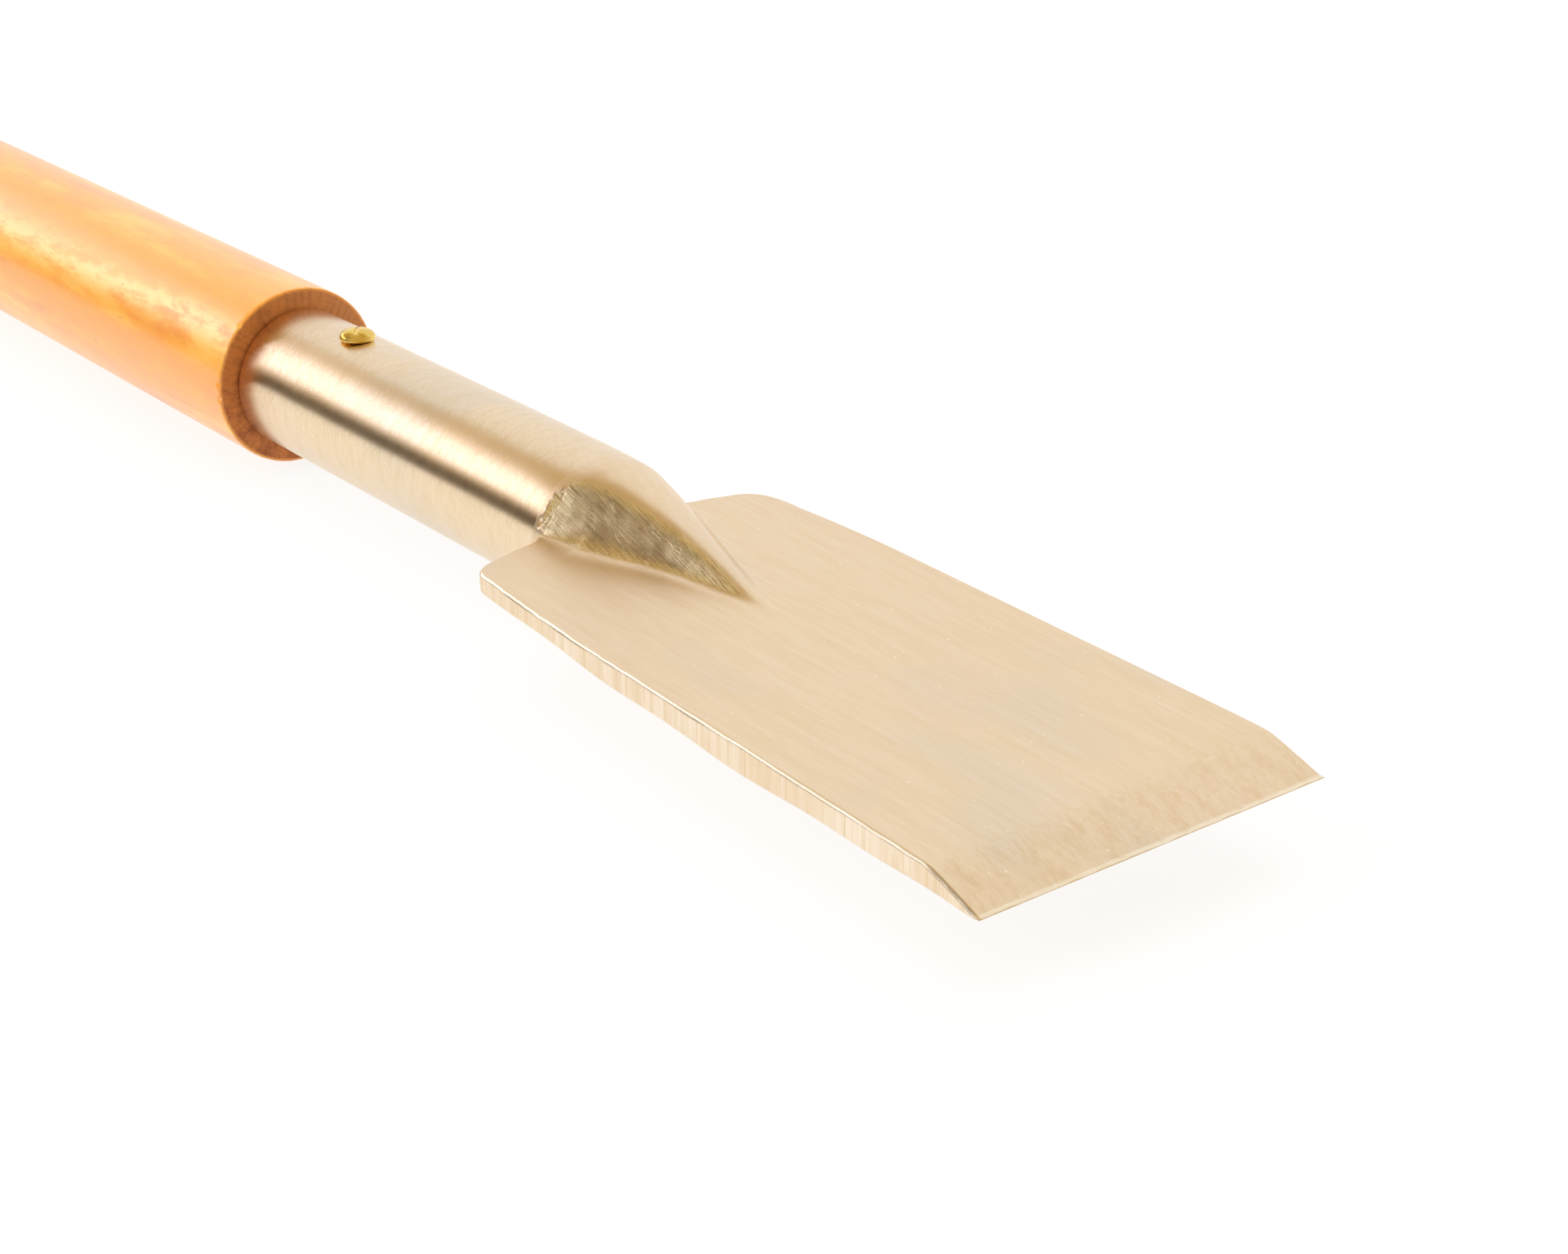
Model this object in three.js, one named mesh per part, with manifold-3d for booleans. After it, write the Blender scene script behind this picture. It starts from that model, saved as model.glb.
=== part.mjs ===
// Long-handled push scraper: a bronze blade with a welded tube socket, a turned wooden
// handle whose tenon fills the socket, and one wood screw that pins the two together.
// Millimetres. +X runs from the handle's butt to the cutting edge, +Z is up.
// The origin is on the surface the tool lies on, under the middle of its length.
import * as THREE from 'three';
import { mergeVertices } from 'three/addons/utils/BufferGeometryUtils.js';
import Module from 'manifold-3d';

// ---- Driving dimensions -------------------------------------------------------------
const OVERALL_LENGTH = 1200;
const EDGE_FROM_SHOULDER = 264;     // handle shoulder to cutting edge
const GAP = 0.3;                    // clearance between touching pieces

const HANDLE_RADIUS = 20;
const SHOULDER_CHAMFER = 1;
const BUTT_ROUNDING = 8;
const TENON_LENGTH = 100;
const TENON_CHAMFER = 2.5;

const TUBE_RADIUS = 15.5;
const TUBE_WALL = 2;
const MOUTH_CHAMFER = 0.4;

const SEAM_X = 115.8;               // middle of the weld, from the shoulder
const SEAM_HALF_WIDTH = 1.2;        // at the outer surface
const SEAM_ROOT_HALF_WIDTH = 0.4;   // at the inner surface
const SEAM_CROWN = 0.4;             // how far the weld stands proud, on the tube's side
const SEAM_FRONT_CROWN = 0.3;       // and on the cone's side

const CONE_BASE_RADIUS = 15.2;
const CONE_BEND = { x: 126, radius: 14 };
const CONE_STRAIGHT = { x: 136, radius: 10.8 };
const CONE_TIP_X = 169.5;

const PLATE_THICKNESS = 4.5;
const PLATE_TOP_AT_REAR = 2.95;     // top face above the tool's axis
const PLATE_DROP_DEG = 1.6;         // the blade's slope towards the cutting edge
const PLATE_REAR_X = 120;
const ROOT_X = 117.3;               // where the rear edge runs into the cone
const ROOT_OVERLAP = 1.5;           // how far the plate reaches into the cone at its root
const ROOT_BEND = { x: 118.7, y: 17.2 };
const ROOT_FILLET = { x: 119.3, y: 21.5 };
const CORNER_START_X = 121;         // rear edge, where the rounded corners begin
const CORNER_BEND = { x: 122, y: 33 };
const NEAR_CORNER = { x: 126.5, y: 28 };
const FAR_CORNER = { x: 133.5, y: 26 };
const REAR_HALF_WIDTH = 33.4;
const WAIST_BEND = { x: 151, y: 35.4 };
const WAIST = { x: 169, y: 35.5 };
const EDGE_HALF_WIDTH = 37;
const BEVEL_LENGTH = 11.5;
const BEVEL_DROP = 3.7;             // top bevel, from the top face down to the edge
const RELIEF_LENGTH = 1.6;          // short bevel under the edge
const EDGE_LAND = 0.15;             // blunt width of the cutting edge

const SCREW_X = 25;
const SCREW_LENGTH = 25;
const HEAD_RADIUS = 3.85;
const HEAD_SEAT_RADIUS = 3.75;
const HEAD_HEIGHT = 2.4;
const SHANK_RADIUS = 2;
const SHANK_LENGTH = 8;
const THREAD_CORE_RADIUS = 1.35;
const THREAD_PITCH = 1.8;
const POINT_LENGTH = 4;
const SLOT_LENGTH = 12;
const SLOT_WIDTH = 1;
const SLOT_DEPTH = 0.9;
const SLOT_ANGLE_DEG = -38;

const ROUND_SIDES = 40;             // flats round the handle and the socket
const SCREW_SIDES = 24;
const HOLE_SIDES = 24;
const BEND_STEPS = 6;
const FILLET_STEPS = 4;
const DOME_STEPS = 6;
const CUT_MARGIN = 1;               // how far a cutting solid passes the one it cuts
const MERGE_DISTANCE = 1e-4;

// ---- Derived places -----------------------------------------------------------------
const SHOULDER_X = OVERALL_LENGTH / 2 - EDGE_FROM_SHOULDER;
const BUTT_X = EDGE_FROM_SHOULDER - OVERALL_LENGTH;
const AXIS_HEIGHT = HANDLE_RADIUS * Math.cos(Math.PI / ROUND_SIDES);
const TUBE_BORE_RADIUS = TUBE_RADIUS - TUBE_WALL;
const TENON_RADIUS = TUBE_BORE_RADIUS - GAP;
const HEAD_SEAT_Z = TUBE_RADIUS + GAP;
const CREASE_X = EDGE_FROM_SHOULDER - BEVEL_LENGTH;

// ---- Solids -------------------------------------------------------------------------
const wasm = await Module();
wasm.setup();

// A closed three.js geometry as a solid that can be cut and joined.
function toSolid(geometry) {
  const bare = geometry.clone();
  bare.deleteAttribute('normal');
  bare.deleteAttribute('uv');
  const merged = mergeVertices(bare, MERGE_DISTANCE);
  const corners = merged.index.array;
  const triangles = [];
  for (let i = 0; i < corners.length; i += 3) {
    const triangle = Array.from(corners.slice(i, i + 3));
    if (new Set(triangle).size === 3) triangles.push(...triangle);
  }
  return new wasm.Manifold(new wasm.Mesh({
    numProp: 3,
    vertProperties: merged.attributes.position.array,
    triVerts: new Uint32Array(triangles),
  }));
}

function toGeometry(solid) {
  const { vertProperties, triVerts } = solid.getMesh();
  const geometry = new THREE.BufferGeometry();
  geometry.setAttribute('position', new THREE.BufferAttribute(vertProperties, 3));
  geometry.setIndex(new THREE.BufferAttribute(triVerts, 1));
  geometry.computeVertexNormals();
  return geometry;
}

// A solid turned about the tool's axis. Each profile point is [distance along X, radius],
// and a flat of the many-sided round lies level at the bottom.
function turned(profile) {
  const points = profile.map(([x, radius]) => new THREE.Vector2(radius, x));
  const geometry = new THREE.LatheGeometry(points, ROUND_SIDES, Math.PI / ROUND_SIDES);
  return geometry.rotateZ(-Math.PI / 2);
}

// A soft bend from one [x, radius] point to another, pulled towards a corner point.
function rounded(from, corner, to) {
  const curve = new THREE.QuadraticBezierCurve(
    new THREE.Vector2(...from),
    new THREE.Vector2(...corner),
    new THREE.Vector2(...to),
  );
  return curve.getPoints(BEND_STEPS).map((point) => [point.x, point.y]);
}

// The hole that the screw passes through, in the socket wall and in the tenon alike.
function screwHole() {
  const top = HEAD_SEAT_Z + CUT_MARGIN;
  const depth = CUT_MARGIN + SCREW_LENGTH + GAP;
  const hole = new THREE.CylinderGeometry(SHANK_RADIUS + GAP, SHANK_RADIUS + GAP, depth, HOLE_SIDES);
  hole.rotateX(Math.PI / 2);
  hole.translate(SCREW_X, 0, top - depth / 2);
  return hole;
}

function drilled(geometry) {
  return toGeometry(toSolid(geometry).subtract(toSolid(screwHole())));
}

// ---- Pieces -------------------------------------------------------------------------
// One turned piece: rounded butt, shaft, square shoulder and the tenon in the socket.
function handleGeometry() {
  const buttFlat = HANDLE_RADIUS - BUTT_ROUNDING;
  return drilled(turned([
    [BUTT_X, 0],
    ...rounded([BUTT_X, buttFlat], [BUTT_X, HANDLE_RADIUS], [BUTT_X + BUTT_ROUNDING, HANDLE_RADIUS]),
    [-SHOULDER_CHAMFER, HANDLE_RADIUS],
    [0, HANDLE_RADIUS - SHOULDER_CHAMFER],
    [0, TENON_RADIUS],
    [TENON_LENGTH - TENON_CHAMFER, TENON_RADIUS],
    [TENON_LENGTH, TENON_RADIUS - TENON_CHAMFER],
    [TENON_LENGTH, 0],
  ]));
}

// One flank of the weld's V groove, which is bevelled on the tube and on the cone.
// side is -1 for the tube's flank and 1 for the cone's.
function seamFlank(side, clearance) {
  return {
    outer: SEAM_X + side * (SEAM_HALF_WIDTH + clearance),
    root: SEAM_X + side * (SEAM_ROOT_HALF_WIDTH + clearance),
  };
}

function socketTubeGeometry() {
  const end = seamFlank(-1, GAP);
  return drilled(turned([
    [GAP, TUBE_BORE_RADIUS],
    [GAP, TUBE_RADIUS - MOUTH_CHAMFER],
    [GAP + MOUTH_CHAMFER, TUBE_RADIUS],
    [end.outer, TUBE_RADIUS],
    [end.root, TUBE_BORE_RADIUS],
    [GAP, TUBE_BORE_RADIUS],
  ]));
}

// The dressed weld: a ring that fills the V groove and stands slightly proud of it.
function weldSeamGeometry() {
  const back = seamFlank(-1, 0);
  const front = seamFlank(1, 0);
  return turned([
    [back.root, TUBE_BORE_RADIUS],
    [back.outer, TUBE_RADIUS],
    [SEAM_X - SEAM_HALF_WIDTH / 2, TUBE_RADIUS + SEAM_CROWN],
    [SEAM_X + SEAM_HALF_WIDTH / 2, TUBE_RADIUS + SEAM_FRONT_CROWN],
    [front.outer, CONE_BASE_RADIUS],
    [front.root, TUBE_BORE_RADIUS],
    [back.root, TUBE_BORE_RADIUS],
  ]);
}

// The solid cone that closes the socket and runs out on the blade.
function coneGeometry() {
  const base = seamFlank(1, GAP);
  return turned([
    [base.root, 0],
    [base.root, TUBE_BORE_RADIUS],
    ...rounded([base.outer, CONE_BASE_RADIUS], [CONE_BEND.x, CONE_BEND.radius],
      [CONE_STRAIGHT.x, CONE_STRAIGHT.radius]),
    [CONE_TIP_X, 0],
  ]);
}

function plateTopAt(x) {
  return PLATE_TOP_AT_REAR - Math.tan(THREE.MathUtils.degToRad(PLATE_DROP_DEG)) * (x - PLATE_REAR_X);
}

// The plate seen from the side: level faces, the long top bevel and the short relief.
function plateSideGeometry() {
  const edgeX = EDGE_FROM_SHOULDER;
  const edgeTop = plateTopAt(edgeX) - BEVEL_DROP;
  const reliefX = edgeX - RELIEF_LENGTH;
  const shape = new THREE.Shape([
    new THREE.Vector2(ROOT_X, plateTopAt(ROOT_X)),
    new THREE.Vector2(ROOT_X, plateTopAt(ROOT_X) - PLATE_THICKNESS),
    new THREE.Vector2(reliefX, plateTopAt(reliefX) - PLATE_THICKNESS),
    new THREE.Vector2(edgeX, edgeTop - EDGE_LAND),
    new THREE.Vector2(edgeX, edgeTop),
    new THREE.Vector2(CREASE_X, plateTopAt(CREASE_X)),
  ]);
  const width = 2 * (EDGE_HALF_WIDTH + CUT_MARGIN);
  const geometry = new THREE.ExtrudeGeometry(shape, { depth: width, bevelEnabled: false });
  geometry.rotateX(Math.PI / 2);
  return geometry.translate(0, width / 2, 0);
}

// One side of the outline from above, from the root at the cone to past the cutting edge.
// side is -1 for the near edge and 1 for the far one.
function outlineSide(side, corner) {
  const at = ({ x, y }) => new THREE.Vector2(x, side * y);
  const bend = (from, control, to, steps) => (
    new THREE.QuadraticBezierCurve(at(from), at(control), at(to)).getPoints(steps).slice(1)
  );
  const root = { x: ROOT_X, y: CONE_BASE_RADIUS };
  const cornerStart = { x: CORNER_START_X, y: corner.y };
  const cornerEnd = { x: corner.x, y: REAR_HALF_WIDTH };
  return [
    at({ x: ROOT_X, y: CONE_BASE_RADIUS - ROOT_OVERLAP }),
    at(root),
    ...bend(root, ROOT_BEND, ROOT_FILLET, FILLET_STEPS),
    at(cornerStart),
    ...bend(cornerStart, CORNER_BEND, cornerEnd, BEND_STEPS),
    ...bend(cornerEnd, WAIST_BEND, WAIST, FILLET_STEPS),
    at({ x: EDGE_FROM_SHOULDER + CUT_MARGIN, y: EDGE_HALF_WIDTH }),
  ];
}

function plateOutlineGeometry() {
  const near = outlineSide(-1, NEAR_CORNER);
  const far = outlineSide(1, FAR_CORNER);
  const shape = new THREE.Shape([...near, ...far.reverse()]);
  const height = 4 * PLATE_THICKNESS;
  const geometry = new THREE.ExtrudeGeometry(shape, { depth: height, bevelEnabled: false });
  return geometry.translate(0, 0, -height / 2 - PLATE_THICKNESS / 2);
}

function bladeGeometry() {
  const plate = toSolid(plateSideGeometry()).intersect(toSolid(plateOutlineGeometry()));
  return toGeometry(plate.add(toSolid(coneGeometry())));
}

// A slotted round-head wood screw, modelled upright with its seat at the origin.
function socketScrewGeometry() {
  const dome = [];
  for (let step = 1; step < DOME_STEPS; step += 1) {
    const angle = (step / DOME_STEPS) * (Math.PI / 2);
    dome.push(new THREE.Vector2(HEAD_RADIUS * Math.cos(angle), HEAD_HEIGHT * Math.sin(angle)));
  }
  const thread = [];
  const threadEnd = SCREW_LENGTH - POINT_LENGTH;
  for (let z = SHANK_LENGTH + THREAD_PITCH; z < threadEnd; z += THREAD_PITCH) {
    thread.push(new THREE.Vector2(THREAD_CORE_RADIUS, -z + THREAD_PITCH / 2));
    thread.push(new THREE.Vector2(SHANK_RADIUS, -z));
  }
  const profile = [
    new THREE.Vector2(0, -SCREW_LENGTH),
    new THREE.Vector2(THREAD_CORE_RADIUS, -threadEnd),
    ...thread.reverse(),
    new THREE.Vector2(SHANK_RADIUS, -SHANK_LENGTH),
    new THREE.Vector2(SHANK_RADIUS, 0),
    new THREE.Vector2(HEAD_SEAT_RADIUS, 0),
    ...dome,
    new THREE.Vector2(0, HEAD_HEIGHT),
  ];
  const body = new THREE.LatheGeometry(profile, SCREW_SIDES).rotateX(Math.PI / 2);
  const slot = new THREE.BoxGeometry(SLOT_LENGTH, SLOT_WIDTH, SLOT_DEPTH * 2);
  slot.translate(0, 0, HEAD_HEIGHT);
  slot.rotateZ(THREE.MathUtils.degToRad(SLOT_ANGLE_DEG));
  return toGeometry(toSolid(body).subtract(toSolid(slot)));
}

// ---- Assembly -----------------------------------------------------------------------
function piece(name, geometry, material) {
  const mesh = new THREE.Mesh(geometry, material);
  mesh.name = name;
  return mesh;
}

const material = (color, roughness, metalness) => (
  new THREE.MeshStandardMaterial({ color, roughness, metalness })
);

const screw = piece('socket_screw', socketScrewGeometry(), material(0xc9a23a, 0.3, 1));
screw.position.set(SCREW_X, 0, HEAD_SEAT_Z);

const group = new THREE.Group();
group.add(
  piece('blade', bladeGeometry(), material(0xd9c7a3, 0.4, 1)),
  piece('weld_seam', weldSeamGeometry(), material(0xcdb78c, 0.5, 1)),
  piece('socket_tube', socketTubeGeometry(), material(0xd6c49c, 0.3, 1)),
  piece('handle', handleGeometry(), material(0xeaa95a, 0.25, 0)),
  screw,
);
group.position.set(SHOULDER_X, 0, AXIS_HEIGHT);

export default group;
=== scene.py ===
import math

import bmesh
import bpy
import numpy as np
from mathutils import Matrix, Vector, noise


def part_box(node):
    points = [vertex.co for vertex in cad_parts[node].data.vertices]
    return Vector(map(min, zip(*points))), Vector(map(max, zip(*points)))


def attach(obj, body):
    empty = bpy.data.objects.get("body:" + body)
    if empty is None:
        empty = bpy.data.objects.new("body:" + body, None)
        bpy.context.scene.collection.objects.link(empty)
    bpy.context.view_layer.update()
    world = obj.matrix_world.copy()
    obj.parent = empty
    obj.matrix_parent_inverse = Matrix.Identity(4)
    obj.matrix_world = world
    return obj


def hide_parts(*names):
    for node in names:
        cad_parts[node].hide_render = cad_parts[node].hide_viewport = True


# The looks of a long-handled push scraper: a satin bronze blade whose solid cone is welded
# to a tube socket, a lacquered wooden handle, and one brass screw.
# Shapes are worked out in millimetres in the tool's own frame: x runs from the handle's
# shoulder to the cutting edge, z is up from the tool's axis, and y is negative on the near
# side. make_piece() turns them into metres in the CAD model's frame. Colours are linear.

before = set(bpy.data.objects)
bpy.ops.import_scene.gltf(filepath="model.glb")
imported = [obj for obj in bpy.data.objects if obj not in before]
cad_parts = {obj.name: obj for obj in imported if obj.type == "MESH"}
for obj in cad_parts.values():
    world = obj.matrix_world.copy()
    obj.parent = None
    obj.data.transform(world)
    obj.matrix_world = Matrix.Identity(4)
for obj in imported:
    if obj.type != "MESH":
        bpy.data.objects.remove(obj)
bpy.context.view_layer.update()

# ---- Sizes, in millimetres --------------------------------------------------------------
MM = 0.001
GAP = 0.3                     # between the shoulder and the tube's mouth, tenon and bore

TUBE_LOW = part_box("socket_tube")[0]
HANDLE_LOW, HANDLE_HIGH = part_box("handle")
BLADE_LOW, BLADE_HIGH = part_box("blade")
ORIGIN = Vector((TUBE_LOW.x - GAP * MM, 0, (HANDLE_LOW.z + HANDLE_HIGH.z) / 2))

EDGE_X = (BLADE_HIGH.x - ORIGIN.x) / MM
BUTT_X = (HANDLE_LOW.x - ORIGIN.x) / MM
TENON_X = (HANDLE_HIGH.x - ORIGIN.x) / MM
HANDLE_RADIUS = (HANDLE_HIGH.z - HANDLE_LOW.z) / 2 / MM
TUBE_RADIUS = 15.5
TUBE_WALL = 2.0
TENON_RADIUS = TUBE_RADIUS - TUBE_WALL - GAP
BUTT_ROUNDING = 8.0
SHOULDER_ROUNDING = 0.8
TENON_CHAMFER = 2.5
SAW_MARKS = 54                # marks of the cutter round the shoulder face
SAW_DEPTH = 0.05
HANDLE_SIDES = 320
TUBE_SIDES = 256

SEAM_X = 115.8
SEAM_HALF_WIDTH = 1.2
SEAM_OVERLAP = 0.05           # the weld runs this far into the blade, so that no gap shows
SEAM_LEAN_UP = 1.1            # how far the weld leans forward at the top
SEAM_LEAN_FAR = 0.8           # and towards the far side
SEAM_SIDES = 480
SEAM_STEPS = 33               # points across its outer surface

ROOT_X = 117.3                # rear end of the blade piece
CONE_BASE_RADIUS = 15.2
CONE_BEND_X = 119.5           # where the socket's straight side turns into the cone
CONE_BEND_SOFTNESS = 6.0
CONE_SLOPE = 0.30
CONE_TIP_X = 171.0
FILLET_ROOT = 1.0             # blend between cone and plate: at the weld, then on to the tip
FILLET_REAR = 6.5
FILLET_MIDDLE = 3.2
FILLET_TIP = 1.6
FLANK_ANGLE = math.radians(33)
# The ground flat on the cone's near flank: its distance from the axis along the cone.
FLANK_PROFILE = (
    (114.8, 15.7), (115.7, 15.2), (116.5, 14.4), (118, 13.9), (120, 13.3),
    (126, 11.4), (136, 8.1), (142, 6.3), (147, 5.2), (152, 4.3), (158, 3.5), (166, 2.8),
)
RIDGE_ROOT = 0.5              # softness of the ridge between flat and cone: at the weld
RIDGE_AHEAD = 3.0             # and ahead of it

PLATE_REAR_X = 120.0
PLATE_TOP_AT_REAR = 2.95
PLATE_SLOPE = math.tan(math.radians(1.6))
PLATE_THICKNESS = 4.5
ROOT_FILLET = (119.3, 21.5)
NEAR_CORNER = (126.5, 28.0)
FAR_CORNER = (133.5, 26.0)
REAR_HALF_WIDTH = 33.4
WAIST = (169.0, 35.5)
EDGE_HALF_WIDTH = (BLADE_HIGH.y - BLADE_LOW.y) / 2 / MM
BEVEL_LENGTH = 11.5
BEVEL_DROP = 3.7
RELIEF_LENGTH = 1.6
EDGE_LAND = 0.15
EDGE_ROUNDING = 0.5
# Section of the broken edge, from the face to the side, as shares of the rounding out and down.
EDGE_SHAPE = ((0.16, 0.02), (0.32, 0.1), (0.82, 0.74), (0.95, 0.95), (1.0, 1.2))
WALL_STEPS = (0.08, 0.25, 0.5, 0.75, 0.92)      # shares of the way down the side
FACE_BANDS = 3                # bands of the rounding that are polished like the face

SCREW_X = 25.0
HEAD_RADIUS = 3.85
HEAD_HEIGHT = 2.35
HEAD_BULGE = 0.45             # height of the head's widest part
HEAD_UNDERCUT = 1.6
SCREW_LENGTH = 25.0
SCREW_SIDES = 96
SHANK_RADIUS = 2.0
THREAD_ROOT_RADIUS = 1.35
THREAD_START = 8.0            # below the head
THREAD_PITCH = 1.8
SLOT_WIDTH = 0.9
SLOT_DEPTH = 0.55
SLOT_ANGLE = math.radians(-38)

# Material slots of the pieces that have more than one material.
FACE, SIDE, BEVEL = range(3)
LACQUER, END_GRAIN, RAW = range(3)


# ---- Numbers ----------------------------------------------------------------------------
def smooth(low, high, value):
    """0 below low, 1 above high, and a soft S between them."""
    share = np.clip((np.asarray(value, float) - low) / (high - low), 0, 1)
    return share * share * (3 - 2 * share)


def band(value, middle, width):
    """1 at the middle, falling off softly on both sides."""
    return np.exp(-((value - middle) / width) ** 2)


def bezier(start, control, end, steps):
    """Points on a curve from start to end that bends towards control."""
    share = np.linspace(0, 1, steps + 1)[:, None]
    start, control, end = np.array(start), np.array(control), np.array(end)
    return (1 - share) ** 2 * start + 2 * share * (1 - share) * control + share**2 * end


def wobble(points, size, seed):
    """Smooth noise between about -1 and 1 at each point, with lumps of that size."""
    shift = Vector((seed * 17.3, seed * 5.1, seed * 9.7))
    flat = np.asarray(points, float).reshape(-1, 3) / size
    values = [noise.noise(Vector(p) + shift) for p in flat]
    return np.array(values).reshape(np.asarray(points).shape[:-1])


def angle_of(points):
    """Angle round the axis in degrees: 0 on the near side, 90 on top, 180 on the far side."""
    return np.degrees(np.arctan2(points[..., 2], -points[..., 1]))


def seam_lean(points):
    """How far forward the weld sits at each point's angle."""
    angle = np.radians(angle_of(points))
    return SEAM_LEAN_UP * np.sin(angle) - SEAM_LEAN_FAR * np.cos(angle)


def mouth_lean(points):
    """How far back the handle's shoulder and the tube's mouth sit: they are cut a little askew."""
    x, y, z = np.moveaxis(points, -1, 0)
    lean = -2.7 - 0.05 * y + 0.03 * z
    return lean * smooth(-40, -2, x) * (1 - smooth(2, 14, x))


# ---- Meshes -----------------------------------------------------------------------------
def make_piece(name, points, faces, materials, material_of=None, sharp=35, masks=None):
    """A closed, smooth-shaded mesh piece from points in the tool's frame."""
    mesh = bpy.data.meshes.new(name)
    placed = np.asarray(points, float).reshape(-1, 3) * MM + np.array(ORIGIN)
    mesh.from_pydata(placed.tolist(), [], faces)
    for mask, values in (masks or {}).items():
        attribute = mesh.attributes.new(mask, "FLOAT", "POINT")
        attribute.data.foreach_set("value", np.asarray(values, np.float32).ravel())
    for material in materials:
        mesh.materials.append(material)
    if material_of is not None:
        mesh.polygons.foreach_set("material_index", material_of)
    clean = bmesh.new()
    clean.from_mesh(mesh)
    bmesh.ops.remove_doubles(clean, verts=clean.verts, dist=1e-7)
    bmesh.ops.recalc_face_normals(clean, faces=clean.faces)
    clean.to_mesh(mesh)
    clean.free()
    mesh.shade_smooth()
    mesh.set_sharp_from_angle(angle=math.radians(sharp))
    piece = bpy.data.objects.new(name, mesh)
    bpy.context.scene.collection.objects.link(piece)
    return piece


def grid_faces(rows, columns, wrap_rows=False, wrap_columns=False):
    """Four-sided faces of a grid of points that are listed row by row."""
    faces = []
    for row in range(rows if wrap_rows else rows - 1):
        for column in range(columns if wrap_columns else columns - 1):
            ahead = (row + 1) % rows
            beside = (column + 1) % columns
            faces.append((
                row * columns + column,
                row * columns + beside,
                ahead * columns + beside,
                ahead * columns + column,
            ))
    return faces


def turned(profile, sides):
    """Points on rings about the tool's axis, from [x, radius] pairs."""
    profile = np.asarray(profile, float)
    angle = np.arange(sides) * 2 * math.pi / sides
    rings = np.empty((len(profile), sides, 3))
    rings[..., 0] = profile[:, :1]
    rings[..., 1] = -profile[:, 1:] * np.cos(angle)
    rings[..., 2] = profile[:, 1:] * np.sin(angle)
    return rings


def swell(rings, amount):
    """Moves ring points away from the axis by an amount for each point."""
    radius = np.maximum(np.hypot(rings[..., 1], rings[..., 2]), 1e-9)
    rings[..., 1] *= 1 + amount / radius
    rings[..., 2] *= 1 + amount / radius


def along(start, end, step):
    """Evenly spaced values from start to end, about a step apart, both ends included."""
    return np.linspace(start, end, max(2, int(round(abs(end - start) / step)) + 1))


# ---- Shader nodes -----------------------------------------------------------------------
class Shader:
    """Adds nodes to one node tree. Values may be numbers, colours or other sockets."""

    def __init__(self, tree):
        self.tree = tree
        tree.nodes.clear()

    def node(self, kind, inputs=None, **settings):
        made = self.tree.nodes.new(kind)
        for name, value in settings.items():
            setattr(made, name, value)
        for name, value in (inputs or {}).items():
            if isinstance(value, bpy.types.NodeSocket):
                self.tree.links.new(value, made.inputs[name])
            else:
                made.inputs[name].default_value = value
        return made

    def math(self, operation, first, second=0.0):
        inputs = {0: first, 1: second}
        return self.node("ShaderNodeMath", inputs, operation=operation).outputs[0]

    def times(self, first, second):
        return self.math("MULTIPLY", first, second)

    def weighted(self, *parts):
        """The sum of values, each given with its weight."""
        terms = [self.times(value, weight) for value, weight in parts]
        total = terms[0]
        for term in terms[1:]:
            total = self.math("ADD", total, term)
        return total

    def dot(self, vector, direction):
        inputs = {0: vector, 1: tuple(direction)}
        return self.node("ShaderNodeVectorMath", inputs, operation="DOT_PRODUCT").outputs["Value"]

    def ramp(self, value, low, high, to_low=0.0, to_high=1.0):
        """A soft step from to_low to to_high as value goes from low to high."""
        inputs = {
            "Value": value, "From Min": low, "From Max": high, "To Min": to_low, "To Max": to_high,
        }
        made = self.node("ShaderNodeMapRange", inputs, interpolation_type="SMOOTHSTEP")
        return made.outputs["Result"]

    def mix(self, share, first, second, blend_type="MIX"):
        made = self.node("ShaderNodeMix", data_type="RGBA", blend_type=blend_type)
        for socket, value in ((0, share), (6, first), (7, second)):
            if isinstance(value, bpy.types.NodeSocket):
                self.tree.links.new(value, made.inputs[socket])
            elif socket:
                made.inputs[socket].default_value = (*value, 1)
            else:
                made.inputs[socket].default_value = value
        return made.outputs[2]

    def place(self, scale, turn=(0, 0, 0)):
        """Object coordinates, in metres, turned and then multiplied by scale."""
        coordinates = self.node("ShaderNodeTexCoord").outputs["Object"]
        mapping = self.node("ShaderNodeMapping", {"Vector": coordinates, "Rotation": turn})
        inputs = {0: mapping.outputs[0], 1: scale}
        return self.node("ShaderNodeVectorMath", inputs, operation="MULTIPLY").outputs[0]

    def noise(self, scale, detail=3.0, roughness=0.5, distortion=0.0, turn=(0, 0, 0)):
        """Noise between 0 and 1 that repeats scale times a metre along each axis."""
        inputs = {
            "Vector": self.place(scale, turn), "Scale": 1.0, "Detail": detail,
            "Roughness": roughness, "Distortion": distortion,
        }
        return self.node("ShaderNodeTexNoise", inputs).outputs["Fac"]

    def bump(self, height, distance):
        inputs = {"Height": height, "Strength": 1.0, "Distance": distance}
        return self.node("ShaderNodeBump", inputs).outputs["Normal"]

    def mask(self, name):
        return self.node("ShaderNodeAttribute", attribute_name=name).outputs["Fac"]


def new_material(name):
    material = bpy.data.materials.new(name)
    material.use_nodes = True
    return material, Shader(material.node_tree)


def finish_material(shader, inputs):
    surface = shader.node("ShaderNodeBsdfPrincipled", inputs)
    shader.node("ShaderNodeOutputMaterial", {"Surface": surface.outputs[0]})


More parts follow.
